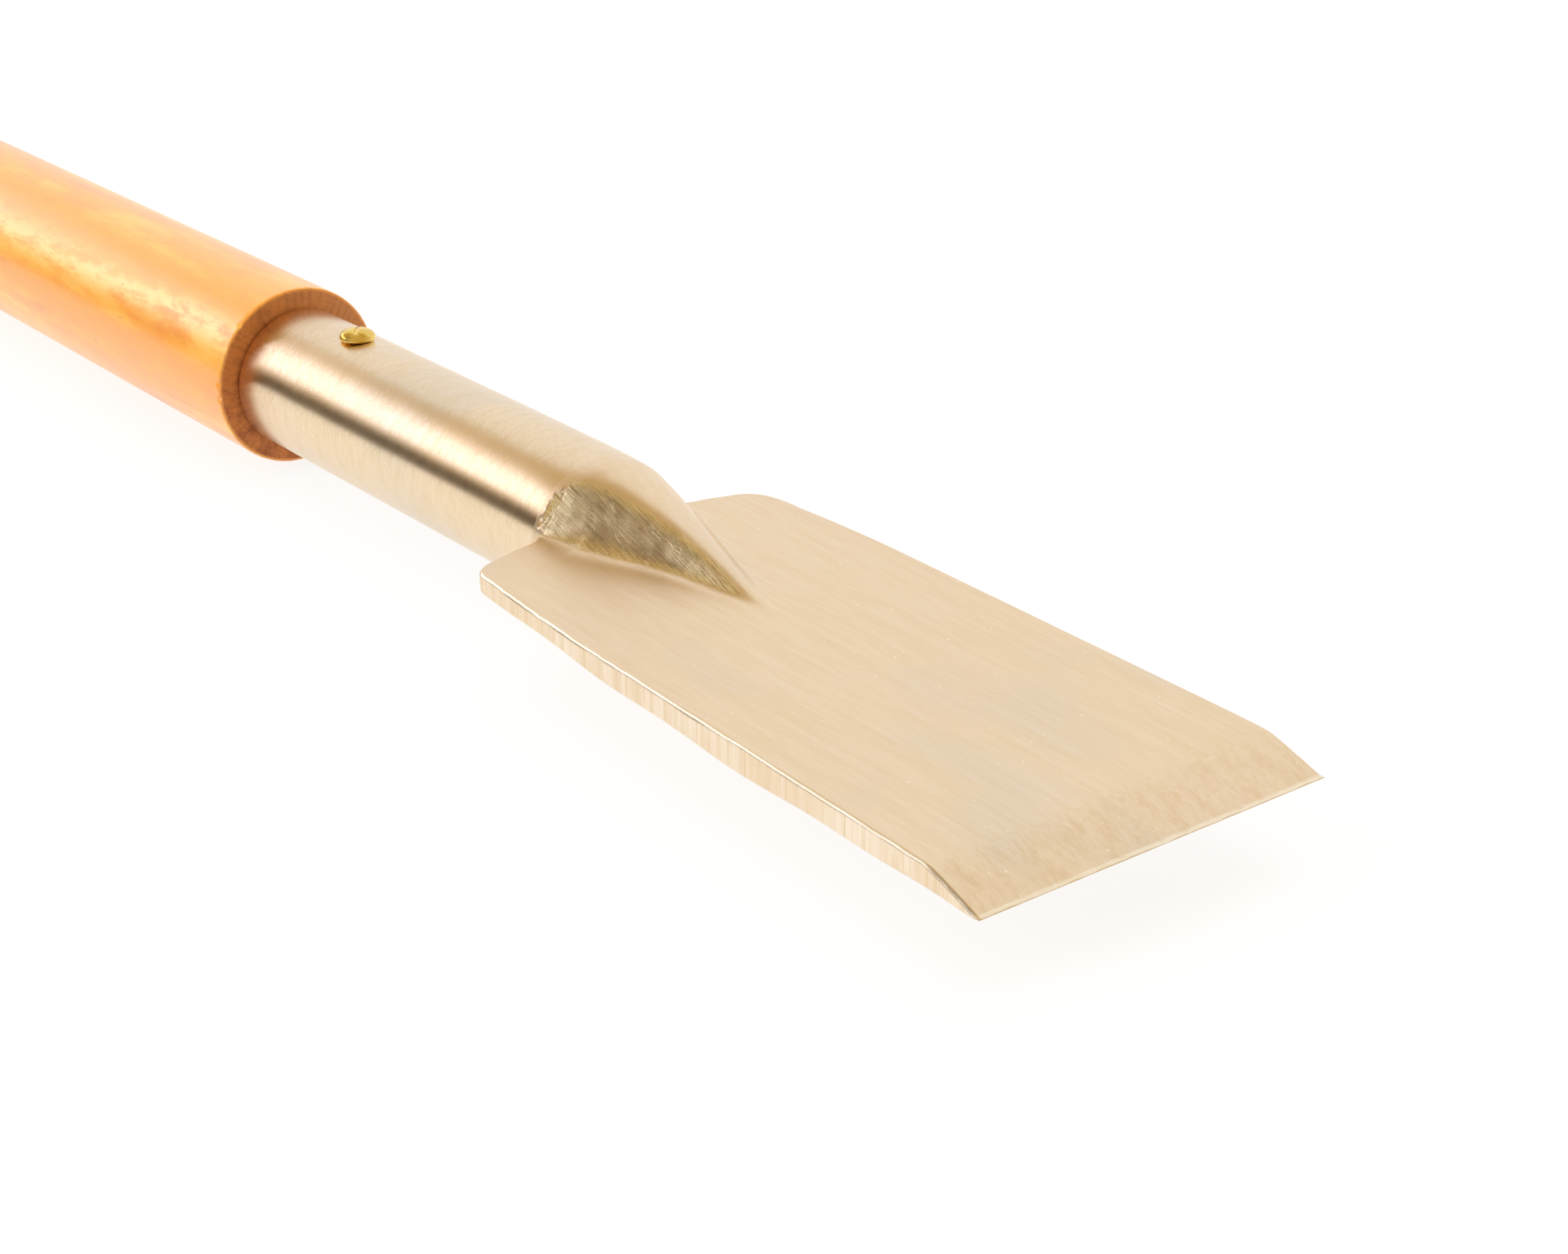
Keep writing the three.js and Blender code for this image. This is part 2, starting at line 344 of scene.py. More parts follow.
# ---- Materials --------------------------------------------------------------------------
BRONZE = (0.86, 0.69, 0.475)
BRONZE_PINK = (0.865, 0.69, 0.495)
BRONZE_GREY = (0.80, 0.67, 0.50)
BRONZE_DEEP = (0.78, 0.59, 0.34)      # in the brush lines
BRONZE_PALE = (0.95, 0.83, 0.67)      # in patches on the sides
BRONZE_PAINTED_SHADE = (0.42, 0.31, 0.18)      # painted shade under the burr
SPECK_AND_EDGE_HIGHLIGHT = (1.0, 0.93, 0.75)             # specks, and worn edges with a painted highlight along them
GROUND_DARK = (0.56, 0.43, 0.26)      # where the near flank was ground
GROUND_LIGHT = (0.92, 0.76, 0.47)
GROUND_GLEAM = (1.0, 0.90, 0.60)      # scores and torn metal, and a painted highlight near the flank's tip

BRASS_DARK = (0.78, 0.54, 0.12)
BRASS_LIGHT = (0.95, 0.72, 0.22)

WOOD_DARK = (0.82, 0.245, 0.006)
WOOD_MIDDLE = (0.95, 0.39, 0.012)
WOOD_LIGHT = (0.98, 0.50, 0.05)
WOOD_MOTTLE = (0.86, 0.28, 0.012)
# painted highlight: a pale band along the handle's upper near side
WOOD_PAINTED_HIGHLIGHT = (1.0, 0.68, 0.22)
# painted shade: deeper bands along the handle below and above the painted highlight
WOOD_PAINTED_SHADE = (0.90, 0.33, 0.002)
WOOD_FLECK = (0.66, 0.23, 0.04)

END_DARK = (0.37, 0.105, 0.020)
END_LIGHT = (0.58, 0.195, 0.040)
END_PORE = (0.15, 0.036, 0.008)
END_LIT = (0.70, 0.30, 0.10)
END_SAW_MARK = (0.17, 0.045, 0.010)
END_RIM = (0.74, 0.31, 0.08)

RAW_DARK = (0.42, 0.25, 0.12)
RAW_LIGHT = (0.66, 0.46, 0.27)

# The grinder's strokes on the near flank: their turn in the plane of the flat, in radians,
# and how often they repeat along and across themselves, per metre.
FLANK_STROKES = ((0.30, 120, 3000), (0.42, 150, 2600), (-0.08, 170, 2400))


def bright_specks(shader):
    return shader.ramp(shader.noise((1900, 1900, 1900), 0, 0.4), 0.835, 0.87)


def bronze_colour(shader):
    """Satin bronze with soft pinkish and greyish clouds."""
    clouds = shader.noise((34, 46, 46), 3, 0.55, 0.6)
    pink = shader.mix(shader.ramp(clouds, 0.42, 0.66), BRONZE, BRONZE_PINK)
    patches = shader.noise((21, 30, 30), 2, 0.5)
    return shader.mix(shader.ramp(patches, 0.52, 0.7), pink, BRONZE_GREY)


def brush_lines(shader, fine_scale, coarse_scale):
    """Fine parallel lines over coarser ones."""
    fine = shader.noise(fine_scale, 2, 0.6)
    coarse = shader.noise(coarse_scale, 2, 0.5)
    return shader.weighted((fine, 0.6), (coarse, 0.4))


def brushed(
    name, line_scale, roughness=0.3, spread=0.08, depth=0.004, tint=0.3, pale=0.0, around=0.0
):
    """Bronze with fine parallel lines. line_scale is small along the lines, large across.

    depth is the height of the lines in millimetres, tint is how much they darken it, pale
    lightens it in patches, and around is how strongly it is polished round the X axis.
    """
    material, shader = new_material(name)
    lines = brush_lines(shader, line_scale, tuple(value * 0.22 for value in line_scale))
    patches = shader.ramp(shader.noise((55, 55, 30), 3, 0.6), 0.4, 0.6, 0.35 * pale, pale)
    colour = shader.mix(patches, bronze_colour(shader), BRONZE_PALE)
    colour = shader.mix(shader.ramp(lines, 0.42, 0.66, 0.0, tint), colour, BRONZE_DEEP)
    colour = shader.mix(bright_specks(shader), colour, SPECK_AND_EDGE_HIGHLIGHT)
    # worn edges with a painted highlight: the rim mask lightens the blade's rounded edges
    colour = shader.mix(shader.times(shader.mask("rim"), 0.8), colour, SPECK_AND_EDGE_HIGHLIGHT)
    # painted shade under the burr's lip
    colour = shader.mix(shader.times(shader.mask("shade"), 0.7), colour, BRONZE_PAINTED_SHADE)
    inputs = {
        "Base Color": colour,
        "Metallic": 1.0,
        "Roughness": shader.ramp(lines, 0.25, 0.75, roughness - spread, roughness + spread),
        "Normal": shader.bump(lines, depth * MM),
    }
    if around:
        tangent = shader.node("ShaderNodeTangent", direction_type="RADIAL", axis="X")
        inputs["Anisotropic"] = around
        inputs["Anisotropic Rotation"] = 0.25
        inputs["Tangent"] = tangent.outputs[0]
    finish_material(shader, inputs)
    return material


def flank_strokes(shader):
    """The grinder's crossed strokes with its grit, and where scores and torn metal gleam; near the
    tip the gleam is a painted highlight.
    """
    strokes = []
    for turn, along_scale, across_scale in FLANK_STROKES:
        flat_turn = (FLANK_ANGLE - math.pi / 2, 0, turn)
        strokes.append(shader.noise((along_scale, across_scale, 0), 2, 0.65, turn=flat_turn))
    grit = shader.noise((2600, 2600, 2600), 2, 0.6)
    smudges = shader.noise((170, 260, 260), 3, 0.6)
    brushing = shader.weighted((strokes[0], 0.42), (grit, 0.28), (smudges, 0.3))
    crossed = (shader.ramp(strokes[1], 0.56, 0.66), shader.ramp(strokes[2], 0.58, 0.7))
    patches = shader.ramp(shader.noise((150, 230, 230), 2, 0.6), 0.42, 0.62)
    scores = shader.times(shader.math("MAXIMUM", *crossed), patches)
    # the torn mask also holds the painted highlight near the tip
    torn = shader.times(shader.mask("torn"), shader.ramp(strokes[0], 0.4, 0.55, 0.1, 1.0))
    return brushing, shader.math("MAXIMUM", shader.times(scores, 0.8), torn)


def ground_bronze(name):
    """Lengthwise brushing, with coarse crossed strokes wherever the near flank was ground."""
    material, shader = new_material(name)
    lines = brush_lines(shader, (90, 3200, 3200), (26, 700, 700))
    ragged = shader.math("SUBTRACT", shader.noise((500, 1100, 1100), 3, 0.7), 0.5)
    border = shader.weighted((shader.mask("dressed"), 1.0), (ragged, 0.7))
    dressed = shader.ramp(border, 0.3, 0.75)
    brushing, gleam = flank_strokes(shader)

    tint = shader.ramp(lines, 0.32, 0.68, 0.0, 0.4)
    colour = shader.mix(tint, bronze_colour(shader), BRONZE_DEEP)
    colour = shader.mix(bright_specks(shader), colour, SPECK_AND_EDGE_HIGHLIGHT)
    # worn edges with a painted highlight: the rim mask lightens the blade's rounded edges
    colour = shader.mix(shader.times(shader.mask("rim"), 0.8), colour, SPECK_AND_EDGE_HIGHLIGHT)
    ground = shader.mix(shader.ramp(brushing, 0.36, 0.64), GROUND_DARK, GROUND_LIGHT)
    ground = shader.mix(gleam, ground, GROUND_GLEAM)
    colour = shader.mix(dressed, colour, ground)

    marks = shader.weighted((brushing, 0.9), (gleam, 0.4))
    heights = {0: dressed, 2: shader.times(lines, 0.14), 3: marks}
    height = shader.node("ShaderNodeMix", heights, data_type="FLOAT").outputs[0]
    satin = shader.ramp(lines, 0.25, 0.75, 0.27, 0.38)
    matt = shader.times(shader.times(gleam, dressed), 0.55)
    finish_material(shader, {
        "Base Color": colour,
        "Metallic": 1.0,
        "Roughness": shader.math("MAXIMUM", satin, matt),
        "Normal": shader.bump(height, 0.05 * MM),
    })
    return material


def brass_material():
    material, shader = new_material("brass")
    clouds = shader.noise((500, 500, 500), 2, 0.5)
    colour = shader.mix(shader.ramp(clouds, 0.35, 0.65), BRASS_DARK, BRASS_LIGHT)
    finish_material(shader, {
        "Base Color": colour,
        "Metallic": 1.0,
        "Roughness": shader.ramp(clouds, 0.3, 0.7, 0.2, 0.32),
        "Normal": shader.bump(shader.noise((1500, 1500, 1500), 2, 0.5), 0.01 * MM),
    })
    return material


def wood_colour(shader):
    """Honey-stained wood: broad streaks, fine grain and short darker flecks, with a painted
    highlight band and painted shade bands that run along the handle at fixed angles round it.

    Gives the colour and the streaks.
    """
    broad = shader.noise((14, 90, 90), 3, 0.55, 0.8)
    grain = shader.noise((34, 420, 420), 4, 0.6, 0.4)
    flecks = shader.noise((260, 800, 800), 3, 0.6)
    streaks = shader.weighted((broad, 0.72), (grain, 0.28))
    colour = shader.mix(shader.ramp(streaks, 0.38, 0.5), WOOD_DARK, WOOD_MIDDLE)
    colour = shader.mix(shader.ramp(streaks, 0.5, 0.62), colour, WOOD_LIGHT)
    mottle = shader.ramp(shader.noise((70, 260, 260), 4, 0.65), 0.38, 0.6, 0.15, 1.0)
    colour = shader.mix(shader.ramp(mottle, 0.2, 0.9, 0.3, 0.0), colour, WOOD_MOTTLE)
    # painted highlight: a pale band along the handle, broken up by the mottle
    colour = shader.mix(shader.times(shader.mask("pale"), mottle), colour, WOOD_PAINTED_HIGHLIGHT)
    # painted shade: deeper bands along the handle at fixed angles round it
    colour = shader.mix(shader.times(shader.mask("painted_shade_bands"), 0.85), colour, WOOD_PAINTED_SHADE)
    colour = shader.mix(shader.ramp(flecks, 0.62, 0.72, 0.0, 0.5), colour, WOOD_FLECK)
    return colour, streaks


def lacquered_wood_material():
    material, shader = new_material("lacquered_wood")
    colour, streaks = wood_colour(shader)
    waves = shader.noise((60, 160, 160), 3, 0.5)
    finish_material(shader, {
        "Base Color": colour,
        "Roughness": shader.ramp(streaks, 0.3, 0.7, 0.42, 0.55),
        "Specular IOR Level": 0.25,
        "Coat Weight": 1.0,
        "Coat Roughness": 0.28,
        "Coat IOR": 1.85,
        "Normal": shader.bump(waves, 0.06 * MM),
    })
    return material


def end_grain_material():
    """Bare stained end grain: cutter marks, pores, lighter at its rim, and painted light towards
    the top.
    """
    material, shader = new_material("end_grain")
    pores = shader.noise((300, 1500, 1500), 3, 0.7)
    scratches = shader.noise((200, 260, 1300), 2, 0.5, turn=(0.5, 0, 0))
    blotches = shader.noise((100, 190, 190), 3, 0.6)
    colour = shader.mix(shader.ramp(blotches, 0.35, 0.65), END_DARK, END_LIGHT)
    colour = shader.mix(shader.ramp(pores, 0.5, 0.72, 0.0, 0.5), colour, END_PORE)
    # painted light: the shoulder face lighter towards its top
    colour = shader.mix(shader.mask("lit"), colour, END_LIT)
    colour = shader.mix(shader.times(shader.mask("saw"), 0.22), colour, END_SAW_MARK)
    rim = shader.weighted((shader.mask("rim"), 1.0), (pores, -0.5))
    colour = shader.mix(shader.ramp(rim, 0.3, 0.75), colour, END_RIM)
    finish_material(shader, {
        "Base Color": colour,
        "Roughness": 0.65,
        "Normal": shader.bump(shader.weighted((scratches, 0.5), (pores, 0.5)), 0.25 * MM),
    })
    return material


def raw_wood_material():
    material, shader = new_material("raw_wood")
    grain = shader.noise((18, 520, 520), 4, 0.6, 0.3)
    finish_material(shader, {
        "Base Color": shader.mix(shader.ramp(grain, 0.3, 0.7), RAW_DARK, RAW_LIGHT),
        "Roughness": 0.7,
        "Normal": shader.bump(grain, 0.1 * MM),
    })
    return material


# ---- Blade ------------------------------------------------------------------------------
def soft_ramp(distance, softness):
    """0 behind zero and the distance itself ahead of it, with a soft bend between."""
    return (distance + np.sqrt(distance**2 + softness**2)) / 2


def socket_radius(x):
    """Outer radius of the tube, the weld and the cone, as one smooth line."""
    return TUBE_RADIUS - CONE_SLOPE * soft_ramp(x - CONE_BEND_X, CONE_BEND_SOFTNESS)


def above_cone(x, y, z):
    return np.hypot(y, z) - socket_radius(x)


def above_flank(x, y, z):
    """Distance outside the flat that is ground on the near flank."""
    reach = np.interp(x, *zip(*FLANK_PROFILE))
    return -y * math.cos(FLANK_ANGLE) + z * math.sin(FLANK_ANGLE) - reach


def larger(first, second, softness):
    """The larger of two values, rounded off where they are nearly equal."""
    closeness = np.clip(1 - np.abs(first - second) / softness, 0, 1)
    return np.maximum(first, second) + softness * closeness**3 / 6


def plate_top(x):
    return PLATE_TOP_AT_REAR - PLATE_SLOPE * (x - PLATE_REAR_X)


def top_level(x):
    past_crease = soft_ramp(x - (EDGE_X - BEVEL_LENGTH), 1.8)
    return plate_top(x) - past_crease * BEVEL_DROP / BEVEL_LENGTH


def side_waves(x):
    """The hand-ground lower edge of the near side is uneven."""
    return 0.8 * np.sin((x - 165) / 24) + 0.25 * np.sin((x - 195) / 6)


def bottom_level(x, y):
    near_side = smooth(-24, -37, y)
    far_side = smooth(24, 37, y)
    extra = near_side * side_waves(x) + far_side * 0.5 * side_waves(x + 31)
    fade = 1 - smooth(EDGE_X - 2 * BEVEL_LENGTH, EDGE_X - RELIEF_LENGTH, x)
    edge_rise = top_level(EDGE_X) - EDGE_LAND - plate_top(EDGE_X) + PLATE_THICKNESS
    relief = soft_ramp(x - (EDGE_X - RELIEF_LENGTH), 0.2) * edge_rise / RELIEF_LENGTH
    return plate_top(x) - PLATE_THICKNESS - extra * fade + relief


def raised(x, y, level, has_flank):
    """Where a ray from below the plate, aimed at [y, level], leaves plate and cone.

    Gives the point's y and z. The cone and the plate are joined by a soft fillet.
    """
    below = -15.0
    places = (ROOT_X, ROOT_X + 9, ROOT_X + 29, CONE_TIP_X)
    fillet = np.interp(x, places, (FILLET_ROOT, FILLET_REAR, FILLET_MIDDLE, FILLET_TIP))
    ridge = np.interp(x, places, (RIDGE_ROOT, RIDGE_AHEAD, RIDGE_AHEAD, 0.5 * RIDGE_AHEAD))
    low = np.full(x.shape, 0.85)        # shares of the ray: surely inside, surely outside
    high = np.full(x.shape, 2.4)
    for _ in range(40):                 # each round halves the stretch between them
        share = (low + high) / 2
        point_y = share * y
        point_z = below + share * (level - below)
        cone = above_cone(x, point_y, point_z)
        if has_flank:
            cone = larger(cone, above_flank(x, point_y, point_z), ridge)
        inside = -larger(-cone, level - point_z, fillet) < 0
        low = np.where(inside, share, low)
        high = np.where(inside, high, share)
    return low * y, below + low * (level - below)


def roughen(points, dressed, torn):
    """Shallow hollows left by the grinder, deeper along the torn rim."""
    lumps = wobble(points, 2.6, 1) * 0.08 + wobble(points, 1.1, 2) * (0.03 + 0.08 * torn)
    points[..., 1] -= lumps * dressed
    points[..., 2] += lumps * dressed


def rear_outline(corner):
    """Half of the blade's rear edge, from the middle to the end of the rounded corner."""
    middle = np.linspace(0, CONE_BASE_RADIUS, 25)
    base = np.column_stack([np.full(len(middle), ROOT_X), middle])
    fillet_control = (ROOT_FILLET[0] - 0.6, CONE_BASE_RADIUS + 2)
    fillet = bezier(base[-1], fillet_control, ROOT_FILLET, 8)
    rear = (PLATE_REAR_X + 1, corner[1])
    straight = np.linspace(ROOT_FILLET, rear, 8)
    turn = bezier(rear, (PLATE_REAR_X + 2, REAR_HALF_WIDTH), (corner[0], REAR_HALF_WIDTH), 14)
    return np.vstack([base, fillet[1:], straight[1:], turn[1:]])


def half_width(x, corner):
    """Half of the blade's width at x, ahead of its rear corner."""
    start = (corner[0], REAR_HALF_WIDTH)
    bend = bezier(start, (WAIST[0] - 18, WAIST[1] - 0.1), WAIST, 20)
    ends = np.vstack([bend, (EDGE_X, EDGE_HALF_WIDTH)])
    return np.interp(x, ends[:, 0], ends[:, 1])


def plan_grid(corner, side, stations):
    """Half of the blade seen from above, from the middle outwards, inset for the rounding."""
    outline = rear_outline(corner)
    direction = np.gradient(outline, axis=0)
    direction /= np.linalg.norm(direction, axis=1)[:, None]
    inset = EDGE_ROUNDING * smooth(CONE_BASE_RADIUS, CONE_BASE_RADIUS + 2, outline[:, 1])
    outline[:, 0] += inset * direction[:, 1]
    outline[:, 1] -= inset * direction[:, 0]
    share = outline[:, 1] / (REAR_HALF_WIDTH - EDGE_ROUNDING)
    fade = 1 - smooth(stations[0], 185, stations)
    x = stations[:, None] + (outline[:, 0] - stations[0])[None, :] * fade[:, None]
    y = share[None, :] * (half_width(x, corner) - EDGE_ROUNDING)
    return x, side * y


def loop_of(rows, columns):
    """Indices round the edge of a grid: near side forwards, front, far side back, rear."""
    near = [row * columns for row in range(rows)]
    front = [(rows - 1) * columns + column for column in range(1, columns)]
    far = [row * columns + columns - 1 for row in range(rows - 2, -1, -1)]
    rear = list(range(columns - 2, 0, -1))
    return near + front + far + rear


def outward(loop_points):
    """Outward directions of a closed loop seen from above, full length at square corners."""
    ahead = np.roll(loop_points, -1, 0)[:, :2] - loop_points[:, :2]
    behind = loop_points[:, :2] - np.roll(loop_points, 1, 0)[:, :2]
    normals = []
    for step in (ahead, behind):
        step = step / np.maximum(np.linalg.norm(step, axis=1)[:, None], 1e-9)
        normals.append(np.column_stack([step[:, 1], -step[:, 0]]))
    together = normals[0] + normals[1]
    length = np.maximum((together * normals[0]).sum(1), 0.6)
    return together / length[:, None]


def blade_stations():
    """Places along the blade, closest together where its shape bends."""
    return np.concatenate([
        along(ROOT_X + EDGE_ROUNDING, 140, 0.6)[:-1],
        along(140, 174, 0.9)[:-1],
        along(174, 249, 2.0)[:-1],
        along(249, EDGE_X - EDGE_ROUNDING, 0.45),
    ])


def blade_faces(stations, columns, loop, ring_count):
    """Faces of the top grid, the bottom grid and the skirt's rings, and their material slots."""
    grid = grid_faces(len(stations), columns)
    count = len(stations) * columns
    faces = grid + [tuple(count + corner for corner in face) for face in grid]
    kinds = [FACE] * len(faces)
    for row in np.flatnonzero(stations[:-1] > EDGE_X - BEVEL_LENGTH - 0.3):
        start = row * (columns - 1)
        kinds[start:start + columns - 1] = [BEVEL] * (columns - 1)
    size = len(loop)
    ladder = [np.array(loop)]
    ladder += [2 * count + index * size + np.arange(size) for index in range(ring_count)]
    ladder.append(count + np.array(loop))
    for level, (upper, under) in enumerate(zip(ladder, ladder[1:])):
        for index in range(size):
            beside = (index + 1) % size
            corners = (upper[index], upper[beside], under[beside], under[index])
            faces.append(tuple(int(corner) for corner in corners))
            kinds.append(FACE if level < FACE_BANDS else SIDE)
    return faces, kinds


def grind_flank(top):
    """Roughens the ground flat. Gives how much each point is ground and how torn it is, with a
    painted highlight near the tip counted in as torn.
    """
    x = top[..., 0]
    margin = above_flank(*np.moveaxis(top, -1, 0)) - above_cone(*np.moveaxis(top, -1, 0))
    dressed = smooth(-1.2, -0.1, margin) * smooth(0.1, 0.9, top[..., 2] - top_level(x))
    at_weld = dressed * (1 - smooth(ROOT_X, ROOT_X + 4, x))
    roughen(top, dressed, at_weld)
    behind = dressed * (1 - smooth(ROOT_X + 1, ROOT_X + 9, x)) * 0.7
    # painted highlight: the flank is brightened near the tip, where it catches the light
    painted_tip_highlight = dressed * smooth(140, 154, x) * 0.75
    crest = dressed * (1 - smooth(0.2, 1.4, margin)) * 0.55
    return dressed, np.max([at_weld, behind, painted_tip_highlight, crest], axis=0)


def blade_skirt(top_loop, bottom_loop, at_seam):
    """Rings of points round the blade, from the top face's rim down to the bottom face's rim.

    The edges aren't rounded at_seam, where the blade meets the weld.
    """
    out = outward(top_loop)
    burr = wobble(top_loop, 3.0, 3) * 0.10 + wobble(top_loop, 0.9, 4) * 0.05
    burr *= 1 - at_seam
    reach = EDGE_ROUNDING * (1 - at_seam)
    thickness = top_loop[:, 2] - bottom_loop[:, 2]
    drop = np.minimum(EDGE_ROUNDING, 0.4 * thickness) * (1 - at_seam)
    upper = []
    for share_out, share_down in EDGE_SHAPE:
        ring = top_loop.copy()
        ring[:, :2] += out * ((reach + burr) * share_out)[:, None]
        ring[:, 2] -= drop * share_down + burr * share_out * (1 - share_down)
        upper.append(ring)
    lower = []
    for share_out, share_down in reversed(EDGE_SHAPE):
        ring = bottom_loop.copy()
        ring[:, :2] += out * (reach * share_out)[:, None]
        ring[:, 2] += drop * share_down
        lower.append(ring)
    wall = []
    for share in WALL_STEPS:
        ring = upper[-1] * (1 - share) + lower[0] * share
        hollows = wobble(ring, 6.0, 5) * 0.05 * math.sin(share * math.pi)
        ring[:, :2] += out * hollows[:, None]
        wall.append(ring)
    return np.array(upper + wall + lower)


def skirt_masks(skirt, at_seam):
    """The worn rim of the top face with a painted highlight along it, and the painted shade under
    its burr.
    """
    rim = np.zeros(skirt.shape[:2])
    # painted highlight along the worn rim
    rim[1:3] = 1 - at_seam
    lip = skirt[3:5]
    shade = np.zeros(skirt.shape[:2])
    # painted shade under the burr
    shade[3:5] = smooth(-0.3, 0.3, wobble(lip * (1, 0.2, 0.2), 9.0, 17)) * (1 - at_seam)
    shade[3:5] *= smooth(126, 132, lip[..., 0]) * (1 - 0.6 * smooth(190, 230, lip[..., 0]))
    return rim, shade


def make_blade(face_material, side_material, bevel_material):
    """Plate, cone and bevels as one closed skin: top grid, bottom grid and a skirt between."""
    stations = blade_stations()
    near_x, near_y = plan_grid(NEAR_CORNER, -1, stations)
    far_x, far_y = plan_grid(FAR_CORNER, 1, stations)
    x = np.hstack([near_x[:, :0:-1], far_x])
    y = np.hstack([near_y[:, :0:-1], far_y])
    rows, columns = x.shape
    count = rows * columns

    top = np.empty((rows, columns, 3))
    top[..., 0] = x
    top[..., 1], top[..., 2] = raised(x, y, top_level(x), True)
    bottom = np.empty((rows, columns, 3))
    bottom[..., 0] = x
    bottom[..., 1], bottom[..., 2] = raised(x, y, -bottom_level(x, y), False)
    bottom[..., 2] *= -1
    dressed, torn = grind_flank(top)
    # the cutting edge: worn, with a painted highlight along it
    front = smooth(EDGE_X - 0.8, EDGE_X - 0.35, top[..., 0] + wobble(top, 1.6, 16) * 0.3)

    loop = loop_of(rows, columns)
    top_loop = top.reshape(-1, 3)[loop]
    bottom_loop = bottom.reshape(-1, 3)[loop]
    within_cone = 1 - smooth(CONE_BASE_RADIUS, CONE_BASE_RADIUS + 2, np.abs(top_loop[:, 1]))
    at_seam = (top_loop[:, 0] < ROOT_X + 2 * EDGE_ROUNDING) * within_cone
    skirt = blade_skirt(top_loop, bottom_loop, at_seam)
    rim, shade = skirt_masks(skirt, at_seam)

    points = np.vstack([top.reshape(-1, 3), bottom.reshape(-1, 3), skirt.reshape(-1, 3)])
    points[:, 0] += seam_lean(points) * (1 - smooth(ROOT_X, ROOT_X + 5, points[:, 0]))
    masks = {name: np.zeros(len(points)) for name in ("dressed", "torn", "rim", "shade")}
    masks["dressed"][:count] = dressed.ravel()
    # torn also carries the painted highlight near the tip
    masks["torn"][:count] = torn.ravel()
    masks["rim"][:count] = front.ravel()
    masks["rim"][2 * count:] = rim.ravel()
    masks["shade"][2 * count:] = shade.ravel()
    faces, kinds = blade_faces(stations, columns, loop, len(skirt))
    materials = [face_material, side_material, bevel_material]
    return make_piece("blade", points, faces, materials, kinds, sharp=50, masks=masks)


# ---- Socket -----------------------------------------------------------------------------
def make_socket_tube(material):
    end = SEAM_X - SEAM_HALF_WIDTH
    bore = TUBE_RADIUS - TUBE_WALL
    lengths = np.concatenate([along(1.2, 90, 3), along(91, end, 0.6)])
    outer = np.column_stack([lengths, socket_radius(lengths)]).tolist()
    mouth = [(0.35, bore + 0.3), (0.3, bore + 0.7), (0.3, TUBE_RADIUS - 0.5)]
    mouth += [(0.4, TUBE_RADIUS - 0.2), (0.65, TUBE_RADIUS - 0.04)]
    inner = [(x, bore) for x in along(end - 0.8, 0.6, 4)]
    rings = turned(mouth + outer + inner, TUBE_SIDES)
    swell(rings, wobble(rings, 9.0, 6) * 0.03)
    rings[..., 0] += seam_lean(rings) * smooth(105, end, rings[..., 0]) + mouth_lean(rings)
    faces = grid_faces(len(rings), TUBE_SIDES, wrap_rows=True, wrap_columns=True)
    return make_piece("socket_tube", rings, faces, [material], sharp=40)


def make_weld_seam(material):
    """Dressed flush with tube and cone, and cut away ragged where the near flank was ground."""
    bore = TUBE_RADIUS - TUBE_WALL
    back = SEAM_X - SEAM_HALF_WIDTH
    share = np.linspace(0, 1, SEAM_STEPS)
    lengths = back + share * (ROOT_X + SEAM_OVERLAP - back)
    outer = np.column_stack([lengths, socket_radius(lengths)]).tolist()
    rings = turned(outer + [(ROOT_X - 0.9, bore), (back + 0.6, bore)], SEAM_SIDES)
    skin = rings[:SEAM_STEPS]

    angle = angle_of(skin)
    ragged = wobble(skin * (0.3, 1, 1), 1.3, 7) * 0.55 + wobble(skin * (0.5, 1, 1), 0.6, 8) * 0.2
    ragged *= 1 - smooth(0.6, 1.0, share)[:, None]
    facing = np.maximum(np.cos(np.radians(angle) - FLANK_ANGLE), 0.2)
    ground = np.interp(skin[..., 0] + ragged, *zip(*FLANK_PROFILE)) / facing
    radius = socket_radius(skin[..., 0])
    left = -larger(-radius, -ground, RIDGE_ROOT)
    pit = band(angle, 20, 3.5) * band(share, 0.45, 0.2)[:, None] * 0.5
    swell(skin, left - radius - pit)
    dressed = smooth(-0.1, 0.2, radius - ground)
    torn = dressed * (1 - smooth(0.8, 2.2, radius - ground))
    roughen(skin, dressed, torn)

    masks = {"dressed": np.zeros(rings.shape[:2]), "torn": np.zeros(rings.shape[:2])}
    masks["dressed"][:SEAM_STEPS] = dressed
    masks["torn"][:SEAM_STEPS] = torn
    rings[..., 0] += seam_lean(rings)
    faces = grid_faces(len(rings), SEAM_SIDES, wrap_rows=True, wrap_columns=True)
    return make_piece("weld_seam", rings, faces, [material], sharp=60, masks=masks)


